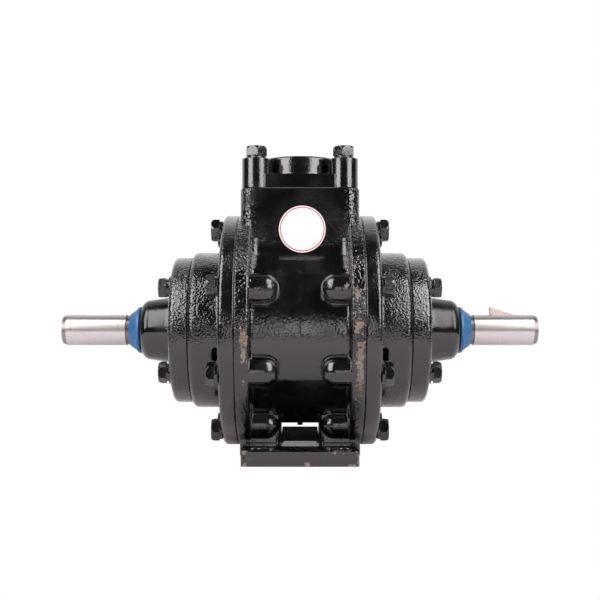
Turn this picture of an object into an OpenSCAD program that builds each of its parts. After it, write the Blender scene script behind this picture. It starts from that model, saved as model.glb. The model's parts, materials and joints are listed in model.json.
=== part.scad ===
// Sliding-vane transfer pump with a double-ended shaft, as fitted under tank trucks.
// X runs along the shaft, Z is up and -Y is the front. The origin is under the shaft, on the foot.

/* [Shaft] */
// Height of the shaft axis above the underside of the foot
shaft_height = 114.3; // [108:0.1:130]
// Overall length of the through shaft
shaft_length = 444; // [420:1:500]
// Diameter of the two drive ends
shaft_end_d = 28.575; // [26:0.005:29]
// Diameter of the bearing and seal journals
journal_d = 35; // [34:0.1:36]
// Diameter of the rotor seat
rotor_seat_d = 38; // [37.5:0.1:40]
// Distance of the Woodruff key centre from its end of the shaft
key_end = 30.6; // [25:0.1:36]
// Diameter of the Woodruff key blank
key_blank_d = 25.4; // [22:0.1:27]
// Width of the Woodruff key
key_width = 6.35; // [5:0.05:8]
// Tilt of the Woodruff key in its seat, inner end up
key_tilt = 18; // [0:1:20]

/* [Casing] */
// Width of the casing between its two head joints
casing_width = 111.8; // [108:0.1:116]
// Outer diameter of the casing flanges and of the head flanges
flange_d = 214; // [212:1:220]
// Thickness of one casing flange
casing_flange_t = 12.5; // [10:0.5:15]
// Outer diameter of the casing barrel
barrel_d = 174; // [168:1:178]
// Diameter of the machined casing bore
casing_bore_d = 136; // [132:0.5:138]
// Width of the outlet tower along the shaft
tower_width = 107; // [100:1:110]
// Depth of the outlet tower from front to back
tower_depth = 108; // [102:1:112]
// Height of the tower joint face above the shaft axis
tower_height = 126.3; // [122:0.1:135]
// Distance that the rear port face stands behind the edge of the casing flanges
rear_port_stand = 12; // [9:0.5:16]
// Diameter of the port passages
passage_d = 54; // [46:1:56]

/* [Foot] */
// Width of the foot along the shaft
foot_width = 100; // [94:1:106]
// Depth of the foot from front to back
foot_depth = 212; // [206:1:220]
// Thickness of the foot
foot_t = 12.8; // [11:0.1:15]
// Spacing of the foot bolts along the shaft
foot_bolt_x = 76; // [70:0.5:80]
// Spacing of the foot bolts from front to back
foot_bolt_y = 180; // [176:0.5:184]
// Diameter of the foot bolt holes
foot_hole_d = 13.5; // [11:0.1:14]
// Width of the window between the foot and the barrel
window_width = 33; // [26:1:36]

/* [Heads] */
// Thickness of the head flange
head_flange_t = 13.9; // [12:0.1:16]
// Diameter of the bearing housing on the head
housing_d = 145; // [142:0.5:148]
// Distance from the head joint to the bearing cover joint
head_depth = 43.1; // [43:0.1:45]
// Distance of the head bolt circle from the edge of the flanges
head_bolt_edge = 9.5; // [9:0.25:10.5]
// Number of head bolts on each side
head_bolt_n = 8; // [8:2:8]
// Diameter of the head bolts and of the port flange bolts
bolt_d = 12; // [10:0.5:12]
// Width across flats of the head bolts and of the port flange bolts
bolt_af = 18; // [16:0.5:19]

/* [Bearing covers] */
// Diameter of the bearing cover
cover_d = 135.6; // [130:0.1:140]
// Thickness of the bearing cover rim
cover_t = 16.8; // [15:0.1:19]
// Length of the domed snout in front of the cover rim
snout_length = 31.9; // [29:0.1:34]
// Diameter of the cover bolt circle
cover_bolt_circle = 108; // [106:0.5:110]
// Diameter of the cover bolts
cover_bolt_d = 10; // [8:0.5:10]
// Width across flats of the cover bolts
cover_bolt_af = 17; // [15:0.5:17]

/* [Pumping chamber] */
// Diameter of the rotor
rotor_d = 101; // [98:0.5:102]
// Wall of the liner on its thin side
liner_wall = 4.6; // [4:0.1:6]
// Direction of the wide side of the chamber, turned from the rear towards the top
wide_angle = 225; // [215:1:235]
// Smallest gap between the rotor and the liner
rotor_gap = 0.3; // [0.2:0.05:0.4]
// Number of vanes
vane_n = 6; // [6:1:6]
// Turn of the first vane from the rear of the pump
first_vane = 15; // [0:1:59]
// Thickness of a vane
vane_t = 8; // [7:0.1:9]
// Height of a vane from root to tip
vane_h = 24; // [20:0.5:24]
// Thickness of the wear disc at each end of the rotor
disc_t = 6.35; // [5:0.05:8]

/* [Bearings] */
// Outer diameter of the ball bearings
bearing_d = 80; // [78:0.5:82]
// Width of the ball bearings
bearing_w = 21; // [19:0.5:21]
// Number of balls in each bearing
ball_n = 9; // [8:1:9]
// Diameter of the bearing balls
ball_d = 13.8; // [12:0.1:13.8]

/* [Port flanges] */
// Spacing of the four port flange bolts
port_bolt_spacing = 79; // [77:0.5:80]
// Radius of the corner ears
ear_r = 12.9; // [11:0.1:13.5]
// Height of the corner ears
ear_h = 27; // [24:0.1:29]
// Thickness of the plate between the ears
port_plate_t = 12.2; // [10:0.1:14]
// Diameter of the threaded hub
hub_d = 77; // [75:0.5:79]
// Height of the threaded hub
hub_h = 31; // [29:0.1:34]
// Diameter of the pipe thread bore
thread_bore_d = 57; // [55:0.1:60]
// Thickness of the port gasket
port_gasket_t = 0.8; // [0.5:0.1:1.5]

/* [Relief valve] */
// Height of the relief valve axis above the shaft axis
relief_z = 88; // [86:0.5:92]
// Diameter of the valve chest bore
chest_bore_d = 38; // [36:0.5:40]
// Distance of the chest face behind the shaft axis
chest_reach = 106; // [102:0.5:108]
// Side of the square valve cover
relief_cover_w = 62; // [60:0.5:64]
// Diameter of the valve seat opening
seat_d = 28; // [24:0.5:29]
// Diameter of the valve spring over its coils
spring_d = 27; // [25:0.5:29]
// Wire diameter of the valve spring
spring_wire_d = 3.4; // [2.5:0.1:3.6]
// Number of turns of the valve spring
spring_turns = 5; // [4:0.5:6]

/* [Fits] */
// Radial or side gap of a seated fit
fit_gap = 0.02; // [0.01:0.01:0.05]
// Radial gap of a sliding or running fit
run_gap = 0.05; // [0.02:0.01:0.1]
// Gap between flat faces that slide past each other
face_gap = 0.1; // [0.05:0.01:0.3]
// Gap between pieces that turn past each other without bearing
free_gap = 0.7; // [0.4:0.05:1]
// Radial clearance of a bolt in its through hole
bolt_gap = 0.6; // [0.3:0.05:0.8]

/* [Hidden] */
VANES = ["vane_1", "vane_2", "vane_3", "vane_4", "vane_5", "vane_6"];

// Colours as the photograph shows them
black_paint = "#17171a";
steel = "#c9c6c4";
plated = "#8f8d8c";
iron = "#5d5c5e";
bronze = "#a07a45";
carbon = "#2f2f33";
rubber_blue = "#3c78be";
gasket_grey = "#6a6d70";
seal_black = "#26262a";
badge_white = "#f2f2f2";

$fn = 64;
overlap = 0.5;

// Half lengths along the shaft
joint_x = casing_width / 2;
rotor_half = joint_x - disc_t - face_gap;
flange_in = joint_x - casing_flange_t;
shaft_half = shaft_length / 2;
shaft_end_r = shaft_end_d / 2;
journal_r = journal_d / 2;
joint_chamfer = 0.8;
shaft_chamfer = 4;
key_x = shaft_half - key_end;
groove_end = 61;
groove_x = shaft_half - groove_end;
groove_w = 2.6;
groove_d = 0.9;

// Pumping chamber
rotor_r = rotor_d / 2;
bore_r = casing_bore_d / 2;
liner_offset = (bore_r - liner_wall - rotor_gap - rotor_r) / 2;
liner_r = rotor_r + liner_offset + rotor_gap;
slot_depth = vane_h + 0.6;
vane_tip_r = 10;
rotor_key_w = 8;
rotor_key_h = 7;
rotor_key_x = 30;

// Head, seal and bearing stations, measured outwards along the shaft
flange_out = joint_x + head_flange_t;
housing_r = housing_d / 2;
cover_joint = joint_x + head_depth;
seal_bore_r = 24.5;
seal_seat_in = joint_x + 8.5;
seal_seat_t = 4.5;
seal_shoulder_r = 19.5;
bearing_in = cover_joint - bearing_w - 0.7;
bearing_out = bearing_in + bearing_w;
bearing_r = bearing_d / 2;
ball_ring_r = (journal_r + bearing_r) / 2;
ball_r = ball_d / 2;
race_w = 6.4;
cage_half_w = 8.5;
cage_half_t = 2.5;
weep_angle = 197;
weep_x = joint_x + 17.9;
weep_r = 2.9;
weep_reach = 3.2;
weep_throat_r = 2.2;

// Bearing cover stations
cover_gasket_t = 0.6;
cover_in = cover_joint + cover_gasket_t;
cover_out = cover_in + cover_t;
snout_out = cover_out + snout_length;
cover_r = cover_d / 2;
snout_root_r = 31;
snout_r = 28;
snout_end_r = 21.5;
cover_pad_h = 1.4;
lip_seal_r = 21;
lip_seal_out = cover_out + 19;
lip_seal_w = 8;
grease_space_r = 33;
shield_length = 10.7;
shield_in = snout_out + 0.3;

// Bolts
bolt_r = bolt_d / 2;
washer_t = 2.6;
head_bolt_head_h = 7.5;
cover_bolt_head_h = 7;
cover_bolt_r = cover_bolt_d / 2;
head_bolt_r = flange_d / 2 - head_bolt_edge;
boss_r = 13.2;
boss_ring_r = head_bolt_r - 4.6;
boss_nose_x = 17.6;

// Ports
tower_corner = 12;
tower_root = 50;
port_flange_w = port_bolt_spacing + 2 * ear_r;
port_bolt = port_bolt_spacing / 2;
hub_r = hub_d / 2;
passage_r = passage_d / 2;
rear_port_reach = flange_d / 2 + rear_port_stand;
port_head_h = 8.8;
port_bolt_turn = 20;
port_thread = 18;
port_tap = 24;
gauge_r = 6.5;
gauge_x = 24;
gauge_z = tower_height - 14.3;

// Relief valve stations, measured backwards from the shaft axis
seat_y = passage_r + 20;
return_y = 22;
return_r = 11;
poppet_t = 6;
poppet_lift = 9;
stem_r = 6;
poppet_r = chest_bore_d / 2 - 2;
spring_seat_y = seat_y + poppet_t;
guide_t = 6;
guide_y = chest_reach - 10;
relief_gasket_t = 0.8;
relief_cover_y = chest_reach + relief_gasket_t;
relief_plate_t = 9;
neck_h = 20;
neck_out = relief_cover_y + neck_h;
neck_r = 15;
cap_foot_t = 8;
cap_foot_r = 20;
cap_r = 17.5;
cap_hex_af = 24;
cap_hex_h = 11;
screw_r = 6;
screw_out = neck_out + 22;
locknut_t = 8;
relief_bolt = relief_cover_w / 2 - 8;
relief_bolt_r = 4;

// Placing helpers
module at_shaft() translate([0, 0, shaft_height]) children();
module side(s) at_shaft() mirror([s < 0 ? 1 : 0, 0, 0]) children();
module along_x() rotate([90, 0, 90]) children();
module along_y() rotate([-90, 0, 0]) children();
module at_angle(a, r) rotate([a, 0, 0]) translate([0, r, 0]) children();
module around_shaft(n, start) for (i = [0 : n - 1]) rotate([start + i * 360 / n, 0, 0]) children();

// Solid of revolution about the shaft axis from [radius, distance along X] points
module turned_x(points, facets = 96) rotate([0, 90, 0]) mirror([1, 0, 0])
    rotate_extrude($fn = facets) polygon(points);

module ring_x(x0, x1, r_out, r_in, facets = 96)
    turned_x([[r_in, x0], [r_out, x0], [r_out, x1], [r_in, x1]], facets);

module rod_x(x0, x1, r, facets = $fn) translate([x0, 0, 0]) rotate([0, 90, 0])
    cylinder(h = x1 - x0, r = r, $fn = facets);

// Points of a quarter arc about centre c from angle a0 to a1
function arc(c, r, a0, a1, n = 6) = [for (i = [0 : n]) let (a = a0 + (a1 - a0) * i / n)
    [c[0] + r * cos(a), c[1] + r * sin(a)]];

module rounded_rect(w, d, r) {
    square([w - 2 * r, d], center = true);
    square([w, d - 2 * r], center = true);
    for (x = [-1, 1], y = [-1, 1]) translate([x * (w / 2 - r), y * (d / 2 - r)]) circle(r = r);
}

module rounded_block(w, d, r, z0, z1)
    translate([0, 0, z0]) linear_extrude(z1 - z0) rounded_rect(w, d, r);

// Hexagon-headed bolt along +X with its washer under the head, shank pointing to -X
module hex_bolt(r, af, head_h, shank) {
    rod_x(-shank, head_h * 0.5 + washer_t, r);
    translate([washer_t, 0, 0]) rotate([0, 90, 0]) intersection() {
        cylinder(h = head_h, d = af / cos(30), $fn = 6);
        cylinder(h = head_h + 3, r1 = af / cos(30) / 2 + 2.4, r2 = af / 2 - 1.4, $fn = 48);
    }
    rod_x(0, washer_t, af / 2 - 0.4);
}

// Casing
module casing_outline() {
    rod_x(-flange_in - overlap, flange_in + overlap, barrel_d / 2, 96);
    for (s = [0, 1]) mirror([s, 0, 0]) {
        casing_flange();
        around_shaft(head_bolt_n, 22.5) translate([0, boss_ring_r, 0]) head_bolt_boss();
    }
    tower();
    inlet_branch();
    relief_chest();
    foot();
}

module casing_flange() {
    edge = 2.5;
    root = 3.2;
    turned_x(concat([[bore_r, flange_in - root], [barrel_d / 2, flange_in - root]],
        arc([barrel_d / 2 + root, flange_in - root], root, 180, 90),
        [[flange_d / 2 - edge, flange_in]],
        arc([flange_d / 2 - edge, flange_in + edge], edge, -90, 0),
        [[flange_d / 2, joint_x - joint_chamfer], [flange_d / 2 - joint_chamfer, joint_x],
        [bore_r, joint_x]]));
}

module head_bolt_boss() {
    rod_x(boss_nose_x + boss_r, flange_in + overlap, boss_r);
    translate([boss_nose_x + boss_r, 0, 0]) sphere(r = boss_r);
}

module tower() rounded_block(tower_width, tower_depth, tower_corner, tower_root, tower_height);

module inlet_branch() {
    branch_w = 92;
    along_y() rounded_block(branch_w, branch_w, 14, 60, rear_port_reach - 12);
    along_y() rounded_block(port_flange_w, port_flange_w, 12, rear_port_reach - 14, rear_port_reach);
}

module relief_chest() {
    chest_r = chest_bore_d / 2 + 7;
    duct_w = 42;
    duct_y = 40;
    duct_z = 10;
    translate([0, 0, relief_z]) along_y() cylinder(h = chest_reach - 6, r = chest_r);
    translate([0, 0, relief_z]) along_y()
        rounded_block(relief_cover_w, relief_cover_w, 8, chest_reach - 12, chest_reach);
    translate([-duct_w / 2, duct_y, duct_z]) cube([duct_w, chest_reach - duct_y - 12, relief_z - duct_z - 4]);
}

module foot() {
    corner = 4;
    foot_z = -shaft_height;
    web_depth = 84;
    stub_h = 2.4;
    stub_r = 2.5;
    rounded_block(foot_width, foot_depth, corner, foot_z, foot_z + foot_t);
    for (s = [-1, 1]) translate([s * (window_width + 2 * joint_x) / 4, 0, 0])
        rounded_block(joint_x - window_width / 2 - 3, web_depth, corner, foot_z + 1, -60);
    translate([0, 0, -barrel_d / 2 - stub_h]) cylinder(h = 12, r = stub_r);
}

module casing_openings() {
    rod_x(-joint_x - 1, joint_x + 1, bore_r, 96);
    translate([0, 0, 40]) cylinder(h = tower_height, r = passage_r);
    along_y() translate([0, 0, 40]) cylinder(h = rear_port_reach, r = passage_r);
    for (s = [0, 1]) mirror([s, 0, 0])
        around_shaft(head_bolt_n, 22.5) translate([0, head_bolt_r, 0])
            rod_x(boss_nose_x + 12, joint_x + 1, bolt_r + fit_gap);
    for (x = [-1, 1], y = [-1, 1]) {
        translate([x * port_bolt, y * port_bolt, tower_height - port_tap])
            cylinder(h = 30, r = bolt_r + fit_gap);
        along_y() translate([x * port_bolt, y * port_bolt, rear_port_reach - port_tap])
            cylinder(h = 30, r = bolt_r + fit_gap);
        translate([x * foot_bolt_x / 2, y * foot_bolt_y / 2, -shaft_height - 1])
            cylinder(h = foot_t + 20, d = foot_hole_d);
        translate([x * relief_bolt, chest_reach - 18, relief_z + y * relief_bolt])
            along_y() cylinder(h = 20, r = relief_bolt_r + fit_gap);
    }
    translate([0, 0, relief_z]) along_y() cylinder(h = chest_reach, d = seat_d);
    translate([0, seat_y, relief_z]) along_y() cylinder(h = chest_reach, d = chest_bore_d);
    translate([0, seat_y + return_y, 0]) cylinder(h = relief_z, r = return_r);
    for (s = [-1, 1]) translate([s * gauge_x, tower_depth / 2 - 12, gauge_z])
        along_y() cylinder(h = 14, r = gauge_r);
}

module casing() color(black_paint) at_shaft() difference() {
    casing_outline();
    casing_openings();
}

// Liner with its bore set off towards the wide side of the chamber
module liner() color(iron) at_shaft() difference() {
    rod_x(-joint_x + disc_t, joint_x - disc_t, bore_r - run_gap, 96);
    at_angle(wide_angle, liner_offset) rod_x(-joint_x, joint_x, liner_r, 96);
    cylinder(h = bore_r + 5, r = passage_r - 2);
    along_y() cylinder(h = bore_r + 5, r = passage_r - 2);
}

module wear_disc(s) color(bronze) side(s)
    ring_x(joint_x - disc_t, joint_x, bore_r - run_gap, seal_bore_r);

// Shaft with its two Woodruff seats and the rotor keyway
module shaft() color(steel) at_shaft() difference() {
    union() for (s = [0, 1]) mirror([s, 0, 0]) shaft_half_solid();
    for (s = [0, 1]) mirror([s, 0, 0]) translate([key_x, 0, key_centre_z])
        rotate([90, 0, 0])
            cylinder(h = key_width + 2 * fit_gap, r = key_blank_d / 2 + run_gap, center = true);
    translate([-rotor_key_x - fit_gap, -rotor_key_w / 2 - fit_gap,
        rotor_seat_d / 2 - rotor_key_h / 2 - fit_gap])
        cube([2 * (rotor_key_x + fit_gap), rotor_key_w + 2 * fit_gap, rotor_key_h]);
}

key_depth = 7.9;
key_centre_z = shaft_end_r - key_depth + key_blank_d / 2;

module shaft_half_solid() turned_x([[0, -overlap], [rotor_seat_d / 2, -overlap],
    [rotor_seat_d / 2, rotor_half], [journal_r, rotor_half], [journal_r, bearing_out],
    [shaft_end_r, bearing_out], [shaft_end_r, groove_x - groove_w / 2],
    [shaft_end_r - groove_d, groove_x - groove_w / 2], [shaft_end_r - groove_d, groove_x + groove_w / 2],
    [shaft_end_r, groove_x + groove_w / 2], [shaft_end_r, shaft_half - shaft_chamfer],
    [shaft_end_r - 1.4, shaft_half], [0, shaft_half]]);

// Rotor with one slot for each vane
module rotor() color(iron) at_shaft() difference() {
    rod_x(-rotor_half, rotor_half, rotor_r, 96);
    rod_x(-joint_x, joint_x, rotor_seat_d / 2 + fit_gap, 96);
    around_shaft(vane_n, first_vane)
        translate([-joint_x, rotor_r - slot_depth, -vane_t / 2 - run_gap])
            cube([2 * joint_x, slot_depth + 5, vane_t + 2 * run_gap]);
    translate([-joint_x, -rotor_key_w / 2 - fit_gap, 0])
        cube([2 * joint_x, rotor_key_w + 2 * fit_gap, rotor_seat_d / 2 + rotor_key_h / 2 + fit_gap]);
}

module rotor_key() color(steel) at_shaft()
    translate([-rotor_key_x, -rotor_key_w / 2, rotor_seat_d / 2 - rotor_key_h / 2])
        cube([2 * rotor_key_x, rotor_key_w, rotor_key_h]);

// Vane at home in its slot, tip just inside the rotor face
module vane(i) color(carbon) at_shaft()
    at_angle(first_vane + i * 360 / vane_n, rotor_r - vane_h - vane_home) along_x()
        translate([0, 0, -rotor_half + face_gap]) linear_extrude(2 * (rotor_half - face_gap))
            intersection() {
                translate([0, -vane_t / 2]) square([vane_h, vane_t]);
                union() {
                    translate([0, -vane_t]) square([vane_h - vane_tip_r, 2 * vane_t]);
                    translate([vane_h - vane_tip_r, 0]) circle(r = vane_tip_r);
                }
            }

vane_home = 0.1;

// Head with its seal bore, bearing pocket, weep hole and bolt holes
module head(s) color(black_paint) side(s) difference() {
    head_solid();
    ring_x(joint_x - 1, joint_x + o_ring_depth, o_ring_r + 2, o_ring_r - 2);
    rod_x(joint_x - 1, seal_seat_in + seal_seat_t, seal_bore_r);
    rod_x(joint_x - 1, cover_joint + 1, seal_shoulder_r);
    rod_x(bearing_in, cover_joint + 1, bearing_r + fit_gap, 96);
    around_shaft(head_bolt_n, 22.5) translate([0, head_bolt_r, 0])
        rod_x(joint_x - 1, flange_out + 1, bolt_r + bolt_gap);
    around_shaft(4, 45) translate([0, cover_bolt_circle / 2, 0])
        rod_x(cover_joint - 20, cover_joint + 1, cover_bolt_r + fit_gap);
    weep_hole();
}

o_ring_r = 75;
o_ring_depth = 2.8;

module head_solid() {
    flange_edge = 4;
    shoulder = 5;
    root = 4;
    turned_x(concat([[0, joint_x], [flange_d / 2 - joint_chamfer, joint_x],
        [flange_d / 2, joint_x + joint_chamfer]],
        arc([flange_d / 2 - flange_edge, flange_out - flange_edge], flange_edge, 0, 90),
        arc([housing_r + root, flange_out + root], root, -90, -180),
        arc([housing_r - shoulder, cover_joint - shoulder], shoulder, 0, 90),
        [[0, cover_joint]]));
}

module weep_hole() rotate([weep_angle, 0, 0]) {
    translate([weep_x, seal_shoulder_r - 3, 0]) along_y() cylinder(h = housing_r, r = weep_throat_r);
    translate([weep_x, bearing_r + 6, 0]) along_y() linear_extrude(housing_r) {
        square([2 * weep_r, 2 * weep_reach], center = true);
        for (y = [-weep_reach, weep_reach]) translate([0, y]) circle(r = weep_r);
    }
}

module head_o_ring(s) color(seal_black) side(s)
    ring_x(joint_x, joint_x + o_ring_depth - fit_gap, o_ring_r + 1.8, o_ring_r - 1.8);

module head_bolts(s) color(black_paint) side(s)
    around_shaft(head_bolt_n, 22.5) translate([flange_out, head_bolt_r, 0]) rotate([30, 0, 0])
        hex_bolt(bolt_r, bolt_af, head_bolt_head_h, flange_out - boss_nose_x - 14);

// Mechanical seal: the ring turns with the shaft, the seat stands in the head
module seal_ring(s) color(carbon) side(s) {
    ring_in = journal_r + fit_gap;
    turned_x([[ring_in, rotor_half + 0.6], [seal_bore_r - free_gap, rotor_half + 0.6],
        [seal_bore_r - free_gap, seal_seat_in - 3], [seal_bore_r - 3, seal_seat_in - 3],
        [seal_bore_r - 3, seal_seat_in - face_gap], [ring_in, seal_seat_in - face_gap]]);
}

module seal_seat(s) color(steel) side(s)
    ring_x(seal_seat_in, seal_seat_in + seal_seat_t, seal_bore_r - fit_gap, journal_r + free_gap);

// Ball bearings
module race_groove() at_groove() circle(r = ball_r + run_gap);
module at_groove() rotate([0, 90, 0]) rotate_extrude($fn = 96)
    translate([ball_ring_r, bearing_in + bearing_w / 2]) children();

module bearing_outer(s) color(steel) side(s) difference() {
    ring_x(bearing_in, bearing_out, bearing_r, bearing_r - race_w);
    race_groove();
}

module bearing_inner(s) color(steel) side(s) difference() {
    ring_x(bearing_in, bearing_out, journal_r + race_w, journal_r + fit_gap);
    race_groove();
}

module at_balls() around_shaft(ball_n, 0)
    translate([bearing_in + bearing_w / 2, ball_ring_r, 0]) children();

module bearing_balls(s) color(steel) side(s) at_balls() sphere(r = ball_r);

module bearing_cage(s) color(bronze) side(s) difference() {
    ring_x(bearing_in + bearing_w / 2 - cage_half_w, bearing_in + bearing_w / 2 + cage_half_w,
        ball_ring_r + cage_half_t, ball_ring_r - cage_half_t);
    at_balls() along_y() cylinder(h = ball_d, r = ball_r + face_gap, center = true);
}

// Bearing cover with its domed snout
module cover_gasket(s) color(gasket_grey) side(s) difference() {
    ring_x(cover_joint, cover_in, cover_r - 1, bearing_r + 1);
    around_shaft(4, 45) translate([0, cover_bolt_circle / 2, 0])
        rod_x(cover_joint - 1, cover_in + 1, cover_bolt_r + bolt_gap);
}

module bearing_cover(s) color(black_paint) side(s) difference() {
    union() {
        cover_solid();
        around_shaft(4, 45) translate([0, cover_bolt_circle / 2, 0])
            rod_x(cover_out - overlap, cover_out + cover_pad_h, cover_bolt_af / 2 + 2);
    }
    rod_x(bearing_out - 1, cover_out - 6, grease_space_r);
    rod_x(bearing_out, lip_seal_out, lip_seal_r + fit_gap);
    rod_x(bearing_out, snout_out + 1, shaft_end_r + free_gap);
    around_shaft(4, 45) translate([0, cover_bolt_circle / 2, 0])
        rod_x(cover_in - 1, cover_out + 5, cover_bolt_r + bolt_gap);
}

module cover_solid() {
    rim_edge = 4;
    root = 3;
    dome = 9;
    turned_x(concat([[0, bearing_out], [bearing_r - fit_gap, bearing_out], [bearing_r - fit_gap, cover_in],
        [cover_r, cover_in]],
        arc([cover_r - rim_edge, cover_out - rim_edge], rim_edge, 0, 90),
        arc([snout_root_r + root, cover_out + root], root, -90, -180),
        arc([snout_r - dome, snout_out - dome], dome, 0, 60),
        [[snout_end_r, snout_out], [0, snout_out]]));
}

module cover_bolts(s) color(black_paint) side(s)
    around_shaft(4, 45) translate([cover_out + cover_pad_h, cover_bolt_circle / 2, 0]) rotate([15, 0, 0])
        hex_bolt(cover_bolt_r, cover_bolt_af, cover_bolt_head_h, cover_t + 17);

module grease_seal(s) color(seal_black) side(s)
    ring_x(lip_seal_out - lip_seal_w, lip_seal_out, lip_seal_r, shaft_end_r + run_gap);

// Rubber dirt shield that turns with the shaft
module dirt_shield(s) color(rubber_blue) side(s) {
    shield_r = snout_end_r + 0.3;
    shield_out = shield_in + shield_length;
    turned_x(concat([[shaft_end_r + fit_gap, shield_in], [shield_r - 0.8, shield_in],
        [shield_r, shield_in + 0.8], [shield_r - 0.5, shield_in + 3]],
        arc([shield_r + 4.6, shield_in + 11.5], 9.9, -121, -150, 4),
        [[shaft_end_r + 0.9, shield_out - 0.6], [shaft_end_r + 0.4, shield_out],
        [shaft_end_r + fit_gap, shield_out]]));
}

// Woodruff key in the seat of the right shaft end
module shaft_key() color(plated) at_shaft() translate([key_x, 0, key_centre_z])
    rotate([0, key_tilt, 0]) rotate([90, 0, 0]) difference() {
        cylinder(h = key_width, d = key_blank_d, center = true);
        translate([-key_blank_d, -key_flat, -key_width]) cube(2 * key_blank_d);
    }

key_flat = 1.6;

// Square port flange with corner ears, drawn on its joint face and facing +Z
module port_flange_solid() {
    plate_inset = 3;
    top_round = 3;
    root = 5;
    difference() {
        union() {
            rounded_block(port_flange_w - 2 * plate_inset, port_flange_w - 2 * plate_inset, 3,
                0, port_plate_t);
            for (x = [-1, 1], y = [-1, 1]) translate([x * port_bolt, y * port_bolt, 0])
                cylinder(h = ear_h, r = ear_r);
            rotate_extrude($fn = 96) polygon(concat([[0, 0], [hub_r + root, 0]],
                arc([hub_r + root, port_plate_t + root], root, -90, -180),
                arc([hub_r - top_round, hub_h - top_round], top_round, 0, 80),
                [[0, hub_h]]));
        }
        translate([0, 0, -1]) cylinder(h = hub_h + 2, r = passage_r);
        translate([0, 0, 6]) cylinder(h = hub_h, d = thread_bore_d, $fn = 96);
        for (x = [-1, 1], y = [-1, 1]) translate([x * port_bolt, y * port_bolt, -1])
            cylinder(h = ear_h + 2, r = bolt_r + bolt_gap);
    }
}

module port_gasket_solid() difference() {
    rounded_block(port_flange_w - 2, port_flange_w - 2, 11, 0, port_gasket_t);
    translate([0, 0, -1]) cylinder(h = port_gasket_t + 2, r = passage_r);
    for (x = [-1, 1], y = [-1, 1]) translate([x * port_bolt, y * port_bolt, -1])
        cylinder(h = port_gasket_t + 2, r = bolt_r + bolt_gap);
}

module port_bolts_solid() for (x = [-1, 1], y = [-1, 1])
    translate([x * port_bolt, y * port_bolt, ear_h]) rotate([0, 0, port_bolt_turn * x]) rotate([0, -90, 0])
        hex_bolt(bolt_r, bolt_af, port_head_h, ear_h + port_thread);

module at_outlet() at_shaft() translate([0, 0, tower_height]) children();
module at_inlet() at_shaft() translate([0, rear_port_reach, 0]) along_y() children();

module outlet_gasket() color(gasket_grey) at_outlet() port_gasket_solid();
module outlet_flange() color(black_paint) at_outlet() translate([0, 0, port_gasket_t]) port_flange_solid();
module outlet_bolts() color(black_paint) at_outlet() translate([0, 0, port_gasket_t]) port_bolts_solid();
module inlet_gasket() color(gasket_grey) at_inlet() port_gasket_solid();
module inlet_flange() color(black_paint) at_inlet() translate([0, 0, port_gasket_t]) port_flange_solid();
module inlet_bolts() color(black_paint) at_inlet() translate([0, 0, port_gasket_t]) port_bolts_solid();

// Relief valve, drawn about an axis that points backwards from the shaft plane
module at_relief() at_shaft() translate([0, 0, relief_z]) along_y() children();

module relief_valve() color(steel) at_relief() {
    translate([0, 0, seat_y]) cylinder(h = poppet_t, r = poppet_r);
    translate([0, 0, seat_y - 8]) cylinder(h = 9, d = seat_d - 2);
    translate([0, 0, seat_y]) cylinder(h = poppet_t + 16, r = stem_r);
}

module relief_spring() color(plated) at_relief()
    spring_coil(spring_seat_y, guide_y, spring_d / 2 - spring_wire_d / 2);

// Coil of round wire about Z between two seats, drawn as one closed tube
module spring_coil(z0, z1, r) {
    sides = 8;
    steps = 16;
    n = round(spring_turns * steps);
    wire_r = spring_wire_d / 2;
    rise = z1 - z0 - 2 * wire_r;
    points = [for (i = [0 : n]) let (a = i * 360 / steps, z = z0 + wire_r + rise * i / n)
        for (j = [0 : sides - 1]) let (b = j * 360 / sides + 180 / sides)
            [(r + wire_r * cos(b)) * cos(a), (r + wire_r * cos(b)) * sin(a), z + wire_r * sin(b)]];
    faces = [for (i = [0 : n - 1], j = [0 : sides - 1]) let (k = (j + 1) % sides)
        [i * sides + j, i * sides + k, (i + 1) * sides + k, (i + 1) * sides + j]];
    polyhedron(points, concat([[for (j = [sides - 1 : -1 : 0]) j]], faces,
        [[for (j = [0 : sides - 1]) n * sides + j]]));
}

module relief_guide() color(steel) at_relief() {
    translate([0, 0, guide_y]) cylinder(h = guide_t, r = chest_bore_d / 2 - run_gap);
    translate([0, 0, guide_y - 12]) cylinder(h = 13, r = spring_d / 2 - spring_wire_d - 0.4);
}

module relief_gasket() color(gasket_grey) at_relief() difference() {
    rounded_block(relief_cover_w - 1, relief_cover_w - 1, 8, chest_reach, relief_cover_y);
    translate([0, 0, chest_reach - 1]) cylinder(h = 4, d = chest_bore_d);
    relief_bolt_holes();
}

module relief_bolt_holes() for (x = [-1, 1], y = [-1, 1])
    translate([x * relief_bolt, y * relief_bolt, chest_reach - 1])
        cylinder(h = relief_plate_t + 20, r = relief_bolt_r + 0.3);

module relief_cover() color(black_paint) at_relief() difference() {
    union() {
        rounded_block(relief_cover_w, relief_cover_w, 8, relief_cover_y, relief_cover_y + relief_plate_t);
        translate([0, 0, relief_cover_y]) cylinder(h = neck_out - relief_cover_y, r = neck_r);
    }
    translate([0, 0, relief_cover_y - 1]) cylinder(h = 5, r = 12);
    translate([0, 0, relief_cover_y - 1]) cylinder(h = neck_h + 20, r = screw_r + fit_gap);
    relief_bolt_holes();
}

module relief_cover_bolts() color(black_paint) at_relief() for (x = [-1, 1], y = [-1, 1])
    translate([x * relief_bolt, y * relief_bolt, relief_cover_y + relief_plate_t]) rotate([0, -90, 0])
        hex_bolt(relief_bolt_r, 13, 5.5, relief_plate_t + 14);

module relief_screw() color(steel) at_relief()
    translate([0, 0, guide_y + guide_t + fit_gap]) cylinder(h = screw_out - guide_y - guide_t, r = screw_r);

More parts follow.
